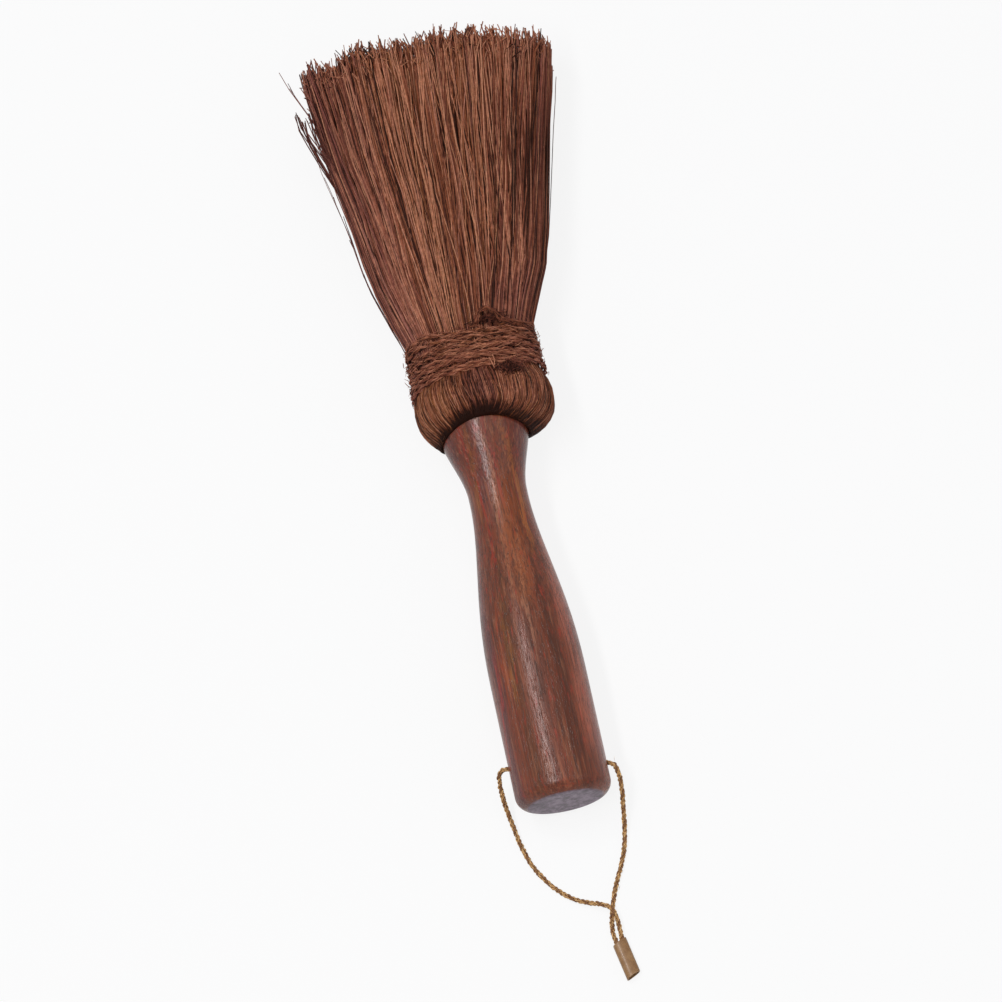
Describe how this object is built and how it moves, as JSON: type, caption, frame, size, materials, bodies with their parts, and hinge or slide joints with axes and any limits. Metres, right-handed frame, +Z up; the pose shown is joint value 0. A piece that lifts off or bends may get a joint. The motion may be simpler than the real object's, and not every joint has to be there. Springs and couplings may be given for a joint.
{
  "type": "coconut fiber dish brush",
  "caption": "Hand brush: turned wooden handle, stiff natural fibre folded back, bound with twine and fanned out flat, with a cord loop through the handle.",
  "frame": {"origin": "centre of the brush's bounding box, without its cord, at the table that it lies on", "axes": "+Y from the handle's butt towards the fibre's tips, +X to the right seen from above, +Z up from the table"},
  "size_m": [0.0769, 0.3038, 0.0404],
  "materials": {
    "handle_wood": "satin",
    "coconut_fibre": "matte",
    "fibre_twine": "matte",
    "tie_steel": "satin",
    "cord_cotton": "matte",
    "sleeve_tan": "satin"
  },
  "bodies": {
    "brush": {"handle": "handle_wood", "tie_wire": "tie_steel", "fibre_hank_01": "coconut_fibre", "fibre_hank_02": "coconut_fibre", "fibre_hank_03": "coconut_fibre", "fibre_hank_04": "coconut_fibre", "fibre_hank_05": "coconut_fibre", "fibre_hank_06": "coconut_fibre", "fibre_hank_07": "coconut_fibre", "fibre_hank_08": "coconut_fibre", "fibre_hank_09": "coconut_fibre", "fibre_hank_10": "coconut_fibre", "fibre_hank_11": "coconut_fibre", "fibre_hank_12": "coconut_fibre", "binding_twine_lower": "fibre_twine", "binding_twine_upper": "fibre_twine"},
    "hanging_loop": {"hanging_cord": "cord_cotton", "cord_end_sleeve": "sleeve_tan"}
  },
  "joints": [
    {"name": "loop_swing", "type": "hinge", "parent": "brush", "child": "hanging_loop", "pos_m": [-0.0075, -0.11356, 0.0148], "axis": [-0.9888, 0.1494, 0.0067], "range_deg": [-110, 165]}
  ]
}
